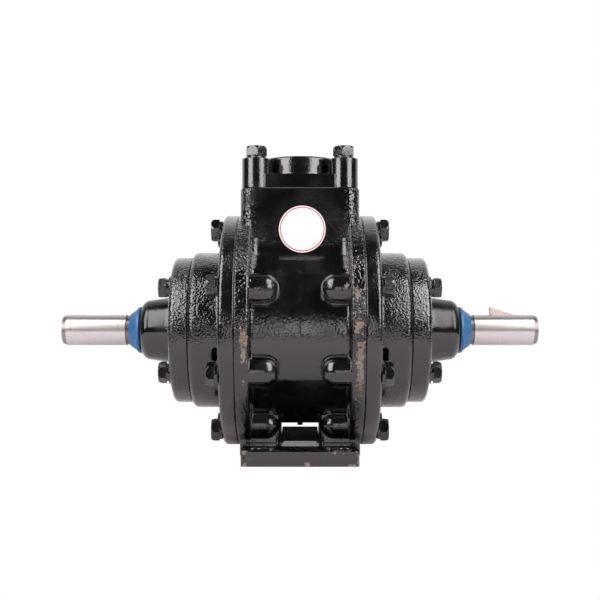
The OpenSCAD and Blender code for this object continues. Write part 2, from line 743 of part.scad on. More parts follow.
module relief_locknut() color(plated) at_relief() translate([0, 0, neck_out]) difference() {
    cylinder(h = locknut_t, d = 19 / cos(30), $fn = 6);
    translate([0, 0, -1]) cylinder(h = locknut_t + 2, r = screw_r + fit_gap);
}

module relief_cap() color(black_paint) at_relief() difference() {
    cap_in = relief_cover_y + relief_plate_t + face_gap;
    union() {
        translate([0, 0, cap_in]) cylinder(h = cap_foot_t, r = cap_foot_r);
        translate([0, 0, cap_in]) cylinder(h = screw_out - cap_in + 4, r = cap_r);
        translate([0, 0, screw_out]) cylinder(h = cap_hex_h, d = cap_hex_af, $fn = 6);
    }
    translate([0, 0, cap_in - 1]) cylinder(h = neck_out - cap_in + 1.3, r = neck_r + fit_gap);
    translate([0, 0, cap_in]) cylinder(h = screw_out - cap_in + 1, r = 12.5);
}

// Pipe plugs of the gauge ports at the back of the tower
module gauge_plugs() color(plated) at_shaft() for (s = [-1, 1])
    translate([s * gauge_x, tower_depth / 2 - 10, gauge_z]) along_y() {
        cylinder(h = 12, r = gauge_r - fit_gap);
        translate([-4, -4, 11]) cube([8, 8, 8]);
    }

// Grease nipples on the back of the bearing housings
module grease_fittings() color(plated) for (s = [-1, 1]) side(s)
    rotate([20, 0, 0]) translate([bearing_in + bearing_w / 2 + 2, housing_r, 0]) along_y() {
        cylinder(h = 5, d = 8 / cos(30), $fn = 6);
        cylinder(h = 9, r = 2.6);
        translate([0, 0, 9]) sphere(r = 3.1);
    }

// Plain round badge on the front of the tower
module badge() color(badge_white) at_shaft()
    translate([badge_x, -tower_depth / 2 - fit_gap, badge_z])
        rotate([90, 0, 0]) cylinder(h = 0.4, d = badge_d, $fn = 96);

badge_x = 2;
badge_z = 89.8;
badge_d = 41.6;

casing();
liner();
wear_disc(-1);  // disc_left
wear_disc(1);  // disc_right
shaft();
rotor();
rotor_key();
for (i = [0 : len(VANES) - 1]) vane(i);
head(-1);  // head_left
head(1);  // head_right
head_o_ring(-1);  // head_o_ring_left
head_o_ring(1);  // head_o_ring_right
head_bolts(-1);  // head_bolts_left
head_bolts(1);  // head_bolts_right
seal_seat(-1);  // seal_seat_left
seal_seat(1);  // seal_seat_right
seal_ring(-1);  // seal_ring_left
seal_ring(1);  // seal_ring_right
bearing_outer(-1);  // bearing_outer_left
bearing_outer(1);  // bearing_outer_right
bearing_inner(-1);  // bearing_inner_left
bearing_inner(1);  // bearing_inner_right
bearing_balls(-1);  // bearing_balls_left
bearing_balls(1);  // bearing_balls_right
bearing_cage(-1);  // bearing_cage_left
bearing_cage(1);  // bearing_cage_right
cover_gasket(-1);  // cover_gasket_left
cover_gasket(1);  // cover_gasket_right
bearing_cover(-1);  // bearing_cover_left
bearing_cover(1);  // bearing_cover_right
cover_bolts(-1);  // cover_bolts_left
cover_bolts(1);  // cover_bolts_right
grease_seal(-1);  // grease_seal_left
grease_seal(1);  // grease_seal_right
dirt_shield(-1);  // dirt_shield_left
dirt_shield(1);  // dirt_shield_right
shaft_key();
outlet_gasket();
outlet_flange();
outlet_bolts();
inlet_gasket();
inlet_flange();
inlet_bolts();
relief_valve();
relief_spring();
relief_guide();
relief_gasket();
relief_cover();
relief_cover_bolts();
relief_screw();
relief_locknut();
relief_cap();
gauge_plugs();
grease_fittings();
badge();
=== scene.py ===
"""Finishes and studio for a vane pump: gloss black castings, ground shaft, rubber shields, pipe threads.

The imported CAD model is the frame. Lengths are in metres, X runs along the shaft, Z is up, -Y is the front.
"""

import json
import math

import bmesh
import bpy
from bpy.props import FloatProperty, FloatVectorProperty, IntProperty, PointerProperty
from mathutils import Matrix, Quaternion, Vector


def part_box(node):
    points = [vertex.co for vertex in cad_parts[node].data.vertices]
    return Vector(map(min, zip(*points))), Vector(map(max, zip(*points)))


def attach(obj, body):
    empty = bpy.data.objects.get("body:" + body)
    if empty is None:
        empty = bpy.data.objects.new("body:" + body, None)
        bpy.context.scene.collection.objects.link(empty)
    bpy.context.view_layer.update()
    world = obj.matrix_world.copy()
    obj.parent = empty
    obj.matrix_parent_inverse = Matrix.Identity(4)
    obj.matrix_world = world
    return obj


bl_info = {
    "name": "Vane pump finishes",
    "version": (1, 0, 0),
    "blender": (4, 5, 0),
    "location": "View3D > Sidebar > Vane pump",
    "description": "Gives the pump's CAD nodes their finishes and sets the studio round them",
    "category": "Object",
}

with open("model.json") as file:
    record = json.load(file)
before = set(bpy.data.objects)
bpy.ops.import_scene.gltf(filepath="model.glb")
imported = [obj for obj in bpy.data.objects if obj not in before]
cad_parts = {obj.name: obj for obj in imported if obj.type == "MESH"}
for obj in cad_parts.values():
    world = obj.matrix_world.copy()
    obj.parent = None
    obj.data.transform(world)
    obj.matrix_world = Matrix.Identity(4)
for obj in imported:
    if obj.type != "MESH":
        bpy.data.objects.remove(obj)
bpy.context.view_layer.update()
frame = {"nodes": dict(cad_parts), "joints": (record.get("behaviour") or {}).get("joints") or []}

MM = 0.001
SHAFT_HEIGHT = next(j["pos_m"][2] for j in frame["joints"] if j["name"] == "rotor_spin")
SIDES = ("left", "right")

HEADS_AND_COVERS = ["head_left", "head_right", "bearing_cover_left", "bearing_cover_right"]
MACHINED_CASTINGS = ["inlet_flange", "relief_cover", "relief_cap"]
BODY_BOLTS = ["head_bolts_left", "head_bolts_right", "cover_bolts_left", "cover_bolts_right",
              "relief_cover_bolts"]
PORT_BOLTS = ["outlet_bolts", "inlet_bolts"]

# Stretches of the pump, from its middle towards each shaft end
SEAM = (0.2 * MM, 1.1 * MM)
WALLS_TO_FLANGES = (38 * MM, 45 * MM)
TOWER_HALF_WIDTH = 41 * MM
HEAD_RIM_MIDDLE = 63.5 * MM
HEAD_RIM_HALF = 7.5 * MM
HOUSING = (70 * MM, 118 * MM)
HOUSING_TO_SNOUT = (118 * MM, 124 * MM)

# Heights from the floor
SAGGED_PAINT = (SHAFT_HEIGHT - 25 * MM, SHAFT_HEIGHT + 10 * MM)
TOP_OF_SNOUT = (SHAFT_HEIGHT - 1 * MM, SHAFT_HEIGHT + 3 * MM)
BARREL_TO_TOWER = (SHAFT_HEIGHT + 50 * MM, SHAFT_HEIGHT + 70 * MM)
TOWER_ROOT_MIDDLE = SHAFT_HEIGHT + 68 * MM
TOWER_ROOT_HALF = 14 * MM
TOWER_BASE = SHAFT_HEIGHT + 62 * MM
PORT_FLANGE_BASE = SHAFT_HEIGHT + 122 * MM
TOWER_TOP = SHAFT_HEIGHT + 162 * MM
FOOT_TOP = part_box("casing")[0].z + 16 * MM

# Stretches of the foot, from the front towards the back
FOOT_FRONT = (-106 * MM, -67 * MM)
FOOT_WINDOW = (-66 * MM, 106 * MM)

# How much of the sand grain shows, where 1 is its full height
GRAIN_ON_RIMS = 0.45
GRAIN_ON_SNOUTS = 0.05
GRAIN_UNDER_SAGS = 0.3
GRAIN_ON_FLANGES = 1.35
GRAIN_ON_WALLS = 0.3
GRAIN_ON_TOWER = 0.12

# Values of the zone noise between which smooth skin turns rough, and glossy paint turns duller
ROUGHER_ZONES = (0.4, 0.6)
DULLER_ZONES = (0.35, 0.65)

# Where the paint is off the casing: centre from the shaft axis, half size (in millimetres), how sparsely
WORN = [
    ((-47.5, -103, -6), (3.0, 12, 9), 0.05),
    ((-47.5, -103, -20), (2.8, 12, 8), 0.2),
    ((-47.5, -101, -45), (3.5, 12, 7), 0.6),
    ((50.0, -105, 4.5), (4.0, 10, 4.5), 0.1),
    ((50.5, -103, -27), (4.2, 14, 27), 0.2),
    ((48.0, -100, 31), (2.0, 12, 4.5), 0.15),
    ((40.0, -88, 38), (2.4, 14, 2.6), 0.2),
    ((-47.0, -104, -102.5), (3.5, 6, 2.5), 0.35),
    ((35.0, -103, -102), (13, 4.5, 2.4), 0.5),
    ((49.5, -106, -107), (1.4, 5, 7.5), 0.4),
    ((-46.8, -106, -113), (2.2, 3, 1.6), 0.2),
    ((43.5, -106, -113.3), (4.0, 3, 1.3), 0.2),
    ((5.9, -106, -112.6), (1.8, 3, 1.8), 0.0),
]
# Dry casting in and before the foot's window, which the brush hardly reached: centre, half size, how dry
DRY = [
    ((0, 39, -101.5), (18, 67, 1.8), 1.0),
    ((0, -47, -101.5), (18, 19, 1.8), 0.6),
    ((-16.5, 0, -81), (1.5, 43, 22), 1.0),
    ((16.5, 0, -81), (1.5, 43, 22), 1.0),
]


def linear(hex_code):
    """An sRGB hex colour as the three linear values that the shaders take."""
    channels = [int(hex_code[i:i + 2], 16) / 255 for i in (1, 3, 5)]
    return tuple(c / 12.92 if c <= 0.04045 else ((c + 0.055) / 1.055) ** 2.4 for c in channels)


def rgba(colour):
    return (*colour[:3], 1.0)


class EnamelSettings(bpy.types.PropertyGroup):
    """Black enamel on the castings and bolts."""

    colour: FloatVectorProperty(name="Paint", description="Colour of the enamel", size=3,
                                subtype="COLOR", min=0, max=1, default=linear("#09090a"))
    bare: FloatVectorProperty(name="Bare patches", description="Colour of primer where the paint is off",
                              size=3, subtype="COLOR", min=0, max=1, default=linear("#7f756f"))
    rust: FloatVectorProperty(name="Rust", description="Colour of the light rust in the bare patches",
                              size=3, subtype="COLOR", min=0, max=1, default=linear("#75655a"))
    dirt: FloatVectorProperty(name="Dirt", description="Colour of the dirt in the bare patches",
                              size=3, subtype="COLOR", min=0, max=1, default=linear("#3a2c26"))
    grain: FloatProperty(name="Casting grain", description="Size of the sand grain under the paint",
                         unit="LENGTH", subtype="DISTANCE", default=2.4 * MM)
    grain_height: FloatProperty(name="Grain height", description="Height of the sand grain",
                                unit="LENGTH", subtype="DISTANCE", default=1.15 * MM)
    wave: FloatProperty(name="Waviness", description="Spacing of the slow waves in the casting",
                        unit="LENGTH", subtype="DISTANCE", default=15.0 * MM)
    wave_height: FloatProperty(name="Wave height", description="Height of the slow waves",
                               unit="LENGTH", subtype="DISTANCE", default=0.35 * MM)
    zone: FloatProperty(name="Zones", description="Size of the zones of rougher and smoother skin",
                        unit="LENGTH", subtype="DISTANCE", default=24.0 * MM)
    edge: FloatProperty(name="Edge radius", description="Radius that paint and casting give a sharp edge",
                        unit="LENGTH", subtype="DISTANCE", default=1.3 * MM)
    bolt_edge: FloatProperty(name="Bolt edge radius", description="Radius of the edges of the bolt heads",
                             unit="LENGTH", subtype="DISTANCE", default=0.5 * MM)
    seam: FloatProperty(name="Seam height", description="Height of the casting seam down the casing",
                        unit="LENGTH", subtype="DISTANCE", default=0.1 * MM)
    taper: FloatProperty(name="Head taper", description="Taper of the housings at their outer ends",
                         unit="ROTATION", subtype="ANGLE", default=math.radians(9))
    root: FloatProperty(name="Tower root", description="Radius of the root between tower and barrel",
                        unit="LENGTH", subtype="DISTANCE", default=14.0 * MM)
    slope: FloatProperty(name="Foot slope", description="Slope of the front of the foot's top",
                         unit="ROTATION", subtype="ANGLE", default=math.radians(7))
    window: FloatProperty(name="Window slope", description="Slope of the dry skin in the foot's window",
                          unit="ROTATION", subtype="ANGLE", default=math.radians(50))
    draft: FloatProperty(name="Pattern draft", description="Lean of the upright walls of the tower",
                         unit="ROTATION", subtype="ANGLE", default=math.radians(2.2))


class MetalSettings(bpy.types.PropertyGroup):
    """Bare and plated metal."""

    shaft: FloatVectorProperty(name="Ground steel", description="Colour of the shaft", size=3,
                               subtype="COLOR", min=0, max=1, default=linear("#d1cdcb"))
    zinc: FloatVectorProperty(name="Zinc plate", description="Colour of the plated fittings", size=3,
                              subtype="COLOR", min=0, max=1, default=linear("#b4b5b2"))
    lay: FloatProperty(name="Grinding lines", description="Spacing of the lines round the shaft",
                       unit="LENGTH", subtype="DISTANCE", default=0.7 * MM)
    lay_height: FloatProperty(name="Line height", description="Height of the lines round the shaft",
                              unit="LENGTH", subtype="DISTANCE", default=0.012 * MM)


class RubberSettings(bpy.types.PropertyGroup):
    """Rubber shields and seals."""

    shield: FloatVectorProperty(name="Shield rubber", description="Colour of the dirt shields", size=3,
                                subtype="COLOR", min=0, max=1, default=linear("#245c8c"))


class BadgeSettings(bpy.types.PropertyGroup):
    """Plain round badge on the tower."""

    film: FloatVectorProperty(name="Film", description="Colour of the badge", size=3,
                              subtype="COLOR", min=0, max=1, default=linear("#e0dddd"))
    ink: FloatVectorProperty(name="Ring", description="Colour of the printed ring", size=3,
                             subtype="COLOR", min=0, max=1, default=linear("#b95f6b"))
    ring: FloatProperty(name="Ring radius", description="Radius of the printed ring",
                        unit="LENGTH", subtype="DISTANCE", default=19.4 * MM)
    ring_width: FloatProperty(name="Ring width", description="Width of the printed ring",
                              unit="LENGTH", subtype="DISTANCE", default=1.0 * MM)
    bubble: FloatProperty(name="Bubbles", description="Spacing of the faint bubbles under the film",
                          unit="LENGTH", subtype="DISTANCE", default=11.1 * MM)
    bubble_height: FloatProperty(name="Bubble height", description="Height of the faint bubbles",
                                 unit="LENGTH", subtype="DISTANCE", default=0.03 * MM)


class ThreadSettings(bpy.types.PropertyGroup):
    """Pipe threads in the two ports."""

    pitch: FloatProperty(name="Pitch", description="Distance from crest to crest",
                         unit="LENGTH", subtype="DISTANCE", default=2.21 * MM)
    height: FloatProperty(name="Height", description="Height of the thread above the bore wall",
                          unit="LENGTH", subtype="DISTANCE", default=1.2 * MM)
    turns: IntProperty(name="Turns", description="Number of thread turns", default=9, min=1)
    bore: FloatProperty(name="Bore", description="Diameter of the bore that carries the thread",
                        unit="LENGTH", subtype="DISTANCE", default=57.0 * MM)
    mouth: FloatProperty(name="Mouth", description="Depth of the plain bore before the first turn",
                         unit="LENGTH", subtype="DISTANCE", default=1.2 * MM)


class StudioSettings(bpy.types.PropertyGroup):
    """Camera, floor and lights."""

    distance: FloatProperty(name="Camera distance", description="From the camera to the shaft",
                            unit="LENGTH", subtype="DISTANCE", default=0.943)
    height: FloatProperty(name="Camera height", description="Height of the camera above the floor",
                          unit="LENGTH", subtype="DISTANCE", default=0.1171)
    lens: FloatProperty(name="Lens", description="Focal length of the camera", unit="CAMERA", default=60.0)
    rise: FloatProperty(name="Rise", description="Upward shift of the picture, as a share of its width",
                        default=0.045)
    floor: FloatProperty(name="Floor radius", description="Radius of the pale floor",
                         unit="LENGTH", subtype="DISTANCE", default=0.85)
    softbox_power: FloatProperty(name="Softbox power", description="Power of each front softbox in watts",
                                 default=21.0)
    softbox_width: FloatProperty(name="Softbox width", description="Width of each softbox",
                                 unit="LENGTH", subtype="DISTANCE", default=0.7)
    softbox_height: FloatProperty(name="Softbox height", description="Height of each softbox",
                                  unit="LENGTH", subtype="DISTANCE", default=1.5)
    softbox_distance: FloatProperty(name="Softbox distance", description="From each softbox to the shaft",
                                    unit="LENGTH", subtype="DISTANCE", default=1.3)
    turn: FloatProperty(name="Softbox turn", description="Angle of each softbox to the side of the camera",
                        unit="ROTATION", subtype="ANGLE", default=math.radians(50))
    roll: FloatProperty(name="Softbox roll", description="Lean of each softbox's top away from the camera",
                        unit="ROTATION", subtype="ANGLE", default=math.radians(18))
    lift: FloatProperty(name="Softbox lift", description="Angle of each softbox above the shaft",
                        unit="ROTATION", subtype="ANGLE", default=math.radians(36))
    card_width: FloatProperty(name="Card width", description="Width of the white card",
                              unit="LENGTH", subtype="DISTANCE", default=0.23)
    card_height: FloatProperty(name="Card height", description="Height of the white card",
                               unit="LENGTH", subtype="DISTANCE", default=0.33)
    card_distance: FloatProperty(name="Card distance", description="From the white card to the shaft",
                                 unit="LENGTH", subtype="DISTANCE", default=1.2)
    card_glow: FloatProperty(name="Card glow", description="Brightness of the white card", default=2.3)


def put(tree, kind, *values, inputs=None, **settings):
    """Adds a node with its settings, and links or sets its inputs: values in their order, inputs by key.

    A node given as a value stands for its first output.
    """
    node = tree.nodes.new(f"ShaderNode{kind}")
    for name, setting in settings.items():
        setattr(node, name, setting)
    for key, value in [*enumerate(values), *(inputs or {}).items()]:
        if isinstance(value, bpy.types.Node):
            value = value.outputs[0]
        if isinstance(value, bpy.types.NodeSocket):
            tree.links.new(value, node.inputs[key])
        else:
            node.inputs[key].default_value = value
    return node


def start_finish(name):
    """A new material, its tree, and the Object coordinates."""
    material = bpy.data.materials.new(name)
    material.use_nodes = True
    tree = material.node_tree
    tree.nodes.clear()
    return material, tree, put(tree, "TexCoord").outputs["Object"]


def close_finish(tree, surface):
    """Ends a material's tree in one principled shader with the given inputs."""
    put(tree, "OutputMaterial", put(tree, "BsdfPrincipled", inputs=surface))


def cover(names, material):
    """Gives CAD nodes a finish through their material slots."""
    for name in names:
        node = frame["nodes"][name]
        if not node.material_slots:
            node.data.materials.append(material)
        for slot in node.material_slots:
            slot.material = material


def patch_mask(tree, place, patches, ragged=0.0):
    """1 inside any of the boxes, with edges that a noise eats into, and 0 outside."""
    covered = 0.0
    for centre, half, sparse in patches:
        middle = Vector(centre) * MM + Vector((0, 0, SHAFT_HEIGHT))
        offset = put(tree, "VectorMath", place, middle, operation="SUBTRACT")
        share = put(tree, "VectorMath", offset, Vector(half) * MM, operation="DIVIDE")
        away = put(tree, "VectorMath", share, operation="ABSOLUTE")
        across, deep, high = put(tree, "SeparateXYZ", away).outputs
        reach = put(tree, "Math", across, deep, operation="MAXIMUM")
        reach = put(tree, "Math", reach, high, operation="MAXIMUM")
        eaten = put(tree, "Math", reach, ragged, operation="ADD")
        inside = put(tree, "Math", eaten, 1.0 - sparse, operation="LESS_THAN")
        covered = put(tree, "Math", covered, inside, operation="MAXIMUM")
    return covered


def dry_mask(tree, place):
    """How dry the casting is, from 0 to 1."""
    dry = 0.0
    for centre, half, share in DRY:
        patch = patch_mask(tree, place, [(centre, half, 0.0)])
        patch = put(tree, "Math", patch, share, operation="MULTIPLY")
        dry = put(tree, "Math", dry, patch, operation="MAXIMUM")
    return dry


def sloped(tree, normal, station, start, end, angle, share=1.0):
    """The normal of a surface that climbs at an angle from the start of a stretch to its end."""
    climb = put(tree, "Math", put(tree, "MapRange", station, start, end), share, operation="MULTIPLY")
    rise = abs(end - start) * math.tan(angle)
    return put(tree, "Bump", inputs={"Height": climb, "Distance": rise, "Normal": normal})


def casing_edge_radius(tree, look, off_centre, up):
    """The edge radius of the casing, widened where the tower stands on the barrel."""
    at_root = put(tree, "Math", up, TOWER_ROOT_MIDDLE, TOWER_ROOT_HALF, operation="COMPARE")
    on_tower = put(tree, "Math", off_centre, TOWER_HALF_WIDTH, operation="LESS_THAN")
    widened = put(tree, "Math", at_root, on_tower, operation="MULTIPLY")
    return put(tree, "MapRange", widened, 0.0, 1.0, look.edge, look.root)


def casing_form(tree, look, normal, place, off_centre, zone):
    """The normal of the casing with its pattern draft, its seam and the slopes of its foot."""
    back, up = put(tree, "SeparateXYZ", place).outputs[1:]
    normal = sloped(tree, normal, up, TOWER_TOP, TOWER_BASE, look.draft)
    broken = put(tree, "MapRange", zone, *ROUGHER_ZONES, 0.3, 1.0)
    ridge = put(tree, "MapRange", off_centre, *SEAM, 1.0, 0.0, interpolation_type="SMOOTHSTEP")
    seam = put(tree, "Math", ridge, broken, operation="MULTIPLY")
    normal = put(tree, "Bump", inputs={"Height": seam, "Distance": look.seam, "Normal": normal})
    # The top of the foot slopes down to its front edge, where the pattern was drawn
    on_foot = put(tree, "Math", up, FOOT_TOP, operation="LESS_THAN")
    normal = sloped(tree, normal, back, *FOOT_FRONT, look.slope, on_foot)
    # The skin in the window is so coarse and dry that only its dark sides show
    driest = [(centre, half, 0.0) for centre, half, share in DRY if share == 1.0]
    in_window = patch_mask(tree, place, driest)
    return sloped(tree, normal, back, *FOOT_WINDOW, look.window, in_window)


def housing_taper(tree, look, normal, off_centre):
    """The normal of the heads and covers, which taper more and more towards the shaft ends."""
    reach = put(tree, "MapRange", off_centre, *HOUSING)
    dome = put(tree, "Math", 1.0, put(tree, "Math", reach, 2.0, operation="POWER"), operation="SUBTRACT")
    fall = (HOUSING[1] - HOUSING[0]) / 2 * math.tan(look.taper)
    return put(tree, "Bump", inputs={"Height": dome, "Distance": fall, "Normal": normal})


def grain_amount(tree, zone, off_centre, up, casing):
    """How much of the sand grain shows through the paint, by place."""
    rim = put(tree, "Math", off_centre, HEAD_RIM_MIDDLE, HEAD_RIM_HALF, operation="COMPARE")
    # The rims of the heads and the snouts of the covers were turned before they were painted, and paint
    # that sagged before it dried has filled the grain on the lower half
    shares = [put(tree, "MapRange", rim, 0.0, 1.0, 1.0, GRAIN_ON_RIMS),
              put(tree, "MapRange", off_centre, *HOUSING_TO_SNOUT, 1.0, GRAIN_ON_SNOUTS),
              put(tree, "MapRange", up, *SAGGED_PAINT, GRAIN_UNDER_SAGS, 1.0)]
    if casing:
        # The walls between the flanges were cast smoother than the flanges, and the tower smoother still
        walls = put(tree, "MapRange", up, *BARREL_TO_TOWER, GRAIN_ON_WALLS, GRAIN_ON_TOWER)
        shares.append(put(tree, "MapRange", off_centre, *WALLS_TO_FLANGES, walls, GRAIN_ON_FLANGES))
    amount = put(tree, "MapRange", zone, *ROUGHER_ZONES, 0.5, 1.0)
    for share in shares:
        amount = put(tree, "Math", amount, share, operation="MULTIPLY")
    return amount


def worn_paint(tree, look, place, gloss):
    """Shader inputs of the casing, whose paint is off in some patches and dry in others."""
    chip, cloud, dot = 3.6 * MM, 7 * MM, 1.7 * MM
    edges = put(tree, "TexNoise", inputs={
        "Vector": place, "Scale": 1 / chip, "Detail": 5.0, "Roughness": 0.65})
    ragged = put(tree, "MapRange", edges, 0.3, 0.7, -0.55, 0.75)
    bare = patch_mask(tree, place, WORN, ragged)
    uncoated = put(tree, "Math", bare, dry_mask(tree, place), operation="MAXIMUM")
    clouds = put(tree, "TexNoise", inputs={"Vector": place, "Scale": 1 / cloud, "Detail": 3.0})
    rusting = put(tree, "MapRange", clouds, 0.42, 0.58)
    dots = put(tree, "TexNoise", inputs={
        "Vector": place, "Scale": 1 / dot, "Detail": 3.0, "Roughness": 0.7})
    dirty = put(tree, "MapRange", dots, 0.52, 0.66, 0.0, 0.85)
    rusted = put(tree, "Mix", rusting, inputs={6: rgba(look.bare), 7: rgba(look.rust)}, data_type="RGBA")
    primer = put(tree, "Mix", dirty, inputs={6: rusted.outputs[2], 7: rgba(look.dirt)}, data_type="RGBA")
    shown = put(tree, "Mix", bare, inputs={6: rgba(look.colour), 7: primer.outputs[2]}, data_type="RGBA")
    return {
        "Base Color": shown.outputs[2],
        "Roughness": put(tree, "Mix", uncoated, inputs={2: gloss, 3: 1.0}),
        "Coat Weight": put(tree, "Math", 1.0, uncoated, operation="SUBTRACT"),
    }


def dusty_snouts(tree, off_centre, up):
    """Coat of the covers, which handling has dulled on the top of their snouts."""
    on_snout = put(tree, "MapRange", off_centre, *HOUSING_TO_SNOUT)
    on_top = put(tree, "MapRange", up, *TOP_OF_SNOUT)
    dust = put(tree, "Math", on_snout, on_top, operation="MULTIPLY")
    return put(tree, "MapRange", dust, 0.0, 1.0, 1.0, 0.1)


def black_enamel(name, grain_share=1.0, fineness=1.0, edge=None, casing=False, upright=False,
                 tapered=False):
    """Two coats of gloss black enamel, brushed over sand-cast iron: a wet mirror over the sand grain."""
    look = bpy.context.scene.pump_enamel
    material, tree, place = start_finish(name)
    along, _, up = put(tree, "SeparateXYZ", place).outputs
    off_centre = put(tree, "Math", along, operation="ABSOLUTE")
    zone = put(tree, "TexNoise", inputs={"Vector": place, "Scale": 1 / look.zone})
    radius = casing_edge_radius(tree, look, off_centre, up) if casing else edge or look.edge
    normal = put(tree, "Bevel", radius, samples=16)
    # Slow waves from the mould, flatter on the walls between the flanges
    waves = put(tree, "TexNoise", inputs={"Vector": place, "Scale": 1 / look.wave, "Detail": 1.0})
    if casing:
        normal = casing_form(tree, look, normal, place, off_centre, zone)
        flatter = put(tree, "MapRange", off_centre, *WALLS_TO_FLANGES, 0.35, 1.0)
        waves = put(tree, "Math", waves, flatter, operation="MULTIPLY")
    if tapered:
        normal = housing_taper(tree, look, normal, off_centre)
    if upright:
        normal = sloped(tree, normal, up, TOWER_TOP, PORT_FLANGE_BASE, 2 * look.draft)
    # Real sand grain is finer than a pixel here, so it is drawn as coarse as it needs to show
    grain = put(tree, "TexNoise", inputs={
        "Vector": place, "Scale": 1 / (look.grain * fineness), "Detail": 1.5})
    amount = grain_amount(tree, zone, off_centre, up, casing)
    grain = put(tree, "Math", grain, amount, operation="MULTIPLY")
    normal = put(tree, "Bump", inputs={
        "Height": waves, "Distance": look.wave_height * grain_share, "Normal": normal})
    normal = put(tree, "Bump", inputs={
        "Height": grain, "Distance": look.grain_height * fineness * grain_share, "Normal": normal})
    gloss = put(tree, "MapRange", zone, *DULLER_ZONES, 0.12, 0.3)
    surface = {"Base Color": rgba(look.colour), "Roughness": gloss, "IOR": 1.5, "Normal": normal,
               "Coat Weight": 1.0, "Coat Roughness": 0.045, "Coat IOR": 1.48, "Coat Normal": normal}
    if tapered:
        surface["Coat Weight"] = dusty_snouts(tree, off_centre, up)
    if casing:
        surface.update(worn_paint(tree, look, place, gloss))
    close_finish(tree, surface)
    return material


def ground_steel(name, look):
    """Shaft steel ground between centres: bright, with fine lines round it that spread the highlights."""
    groove_from_end, groove_half, chamfer = 61 * MM, 1.9 * MM, 4 * MM
    changes_along_a_line = 30.0
    # How far dirt darkens the groove, and how far painted shade darkens the chamfers
    groove_dirt, painted_chamfer_shade = 0.75, 0.6
    material, tree, place = start_finish(name)
    station = put(tree, "Math", put(tree, "SeparateXYZ", place), operation="ABSOLUTE")
    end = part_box("shaft")[1].x
    # Dirt stays in the turned groove, and the turned chamfer at each end gets painted shade: a darker tone
    # that keeps its bright reflection from running into the pale backdrop
    in_groove = put(tree, "Math", station, end - groove_from_end, groove_half, operation="COMPARE")
    on_chamfer = put(tree, "Math", station, end - chamfer, operation="GREATER_THAN")
    dirty = put(tree, "Math", in_groove, groove_dirt, operation="MULTIPLY")
    chamfer_painted_shade = put(tree, "Math", on_chamfer, painted_chamfer_shade, operation="MULTIPLY")
    dirt_and_painted_shade = put(tree, "Math", dirty, chamfer_painted_shade, operation="MAXIMUM")
    tone = put(tree, "Mix", dirt_and_painted_shade, data_type="RGBA", inputs={
        6: rgba(look.shaft), 7: rgba(linear("#4a4644"))})
    lines = put(tree, "Mapping", inputs={
        "Vector": place, "Scale": (1 / look.lay, changes_along_a_line, changes_along_a_line)})
    cut = put(tree, "TexNoise", inputs={"Vector": lines, "Scale": 1.0, "Detail": 3.0, "Roughness": 0.7})
    close_finish(tree, {
        "Base Color": tone.outputs[2],
        "Metallic": 1.0,
        "Roughness": put(tree, "MapRange", cut, 0.0, 1.0, 0.2, 0.42),
        "Normal": put(tree, "Bump", inputs={"Height": cut, "Distance": look.lay_height}),
    })
    return material


def speckled(name, colour, other, size, roughness, height=0.0, **shader):
    """A finish of two close tones with a speckle of the given size, in metres."""
    edge_radius = 0.3 * MM
    material, tree, place = start_finish(name)
    speckle = put(tree, "TexNoise", inputs={
        "Vector": place, "Scale": 1 / size, "Detail": 3.0, "Roughness": 0.6})
    share = put(tree, "MapRange", speckle, 0.35, 0.65)
    tone = put(tree, "Mix", share, inputs={6: rgba(colour), 7: rgba(other)}, data_type="RGBA")
    edge = put(tree, "Bevel", edge_radius, samples=4)
    close_finish(tree, {
        "Base Color": tone.outputs[2],
        "Roughness": put(tree, "MapRange", speckle, 0.0, 1.0, roughness * 0.8, roughness * 1.2),
        "Normal": put(tree, "Bump", inputs={"Height": speckle, "Distance": height, "Normal": edge}),
        **shader,
    })
    return material


class PUMP_OT_paint_castings(bpy.types.Operator):
    """Paint the casing, heads, bearing covers and port flanges with gloss black enamel"""

    bl_idname = "pump.paint_castings"
    bl_label = "Paint the castings"

    def execute(self, context):
        cover(["casing"], black_enamel("gloss_enamel_casing", casing=True))
        cover(HEADS_AND_COVERS, black_enamel("gloss_enamel_cast_skin", fineness=0.75, tapered=True))
        cover(MACHINED_CASTINGS, black_enamel("gloss_enamel_smooth", grain_share=0.14))
        cover(["outlet_flange"], black_enamel(
            "gloss_enamel_port_flange", grain_share=0.25, fineness=0.5, upright=True))
        return {"FINISHED"}


class PUMP_OT_paint_bolts(bpy.types.Operator):
    """Paint the bolts, which carry the same enamel over forged heads"""

    bl_idname = "pump.paint_bolts"
    bl_label = "Paint the bolts"

    def execute(self, context):
        edge = context.scene.pump_enamel.bolt_edge
        cover(BODY_BOLTS, black_enamel("gloss_enamel_bolts", grain_share=0.3, edge=edge))
        cover(PORT_BOLTS, black_enamel("gloss_enamel_port_bolts", grain_share=0.8, fineness=0.4, edge=edge))
        return {"FINISHED"}


class PUMP_OT_finish_metal(bpy.types.Operator):
    """Grind the shaft, give the keys cold drawn steel, and plate the plugs, nipples and valve fittings"""

    bl_idname = "pump.finish_metal"
    bl_label = "Finish the shaft and fittings"

    def execute(self, context):
        look = context.scene.pump_metal
        cover(["shaft"], ground_steel("ground_shaft_steel", look))
        # Key stock is cold drawn: duller than the shaft, with faint scale
        cover(["shaft_key", "rotor_key"],
              speckled("cold_drawn_key_steel", linear("#cdc3be"), linear("#bbb0ab"), 1.2 * MM,
                       0.6, 0.01 * MM, Metallic=0.5))
        # Clear zinc plate on turned steel: pale, a little cloudy
        cover(["gauge_plugs", "grease_fittings", "relief_locknut", "relief_screw", "relief_spring",
               "relief_guide", "relief_valve"],
              speckled("clear_zinc_plate", look.zinc, linear("#8f918e"), 1.5 * MM,
                       0.32, 0.01 * MM, Metallic=1.0))
        return {"FINISHED"}


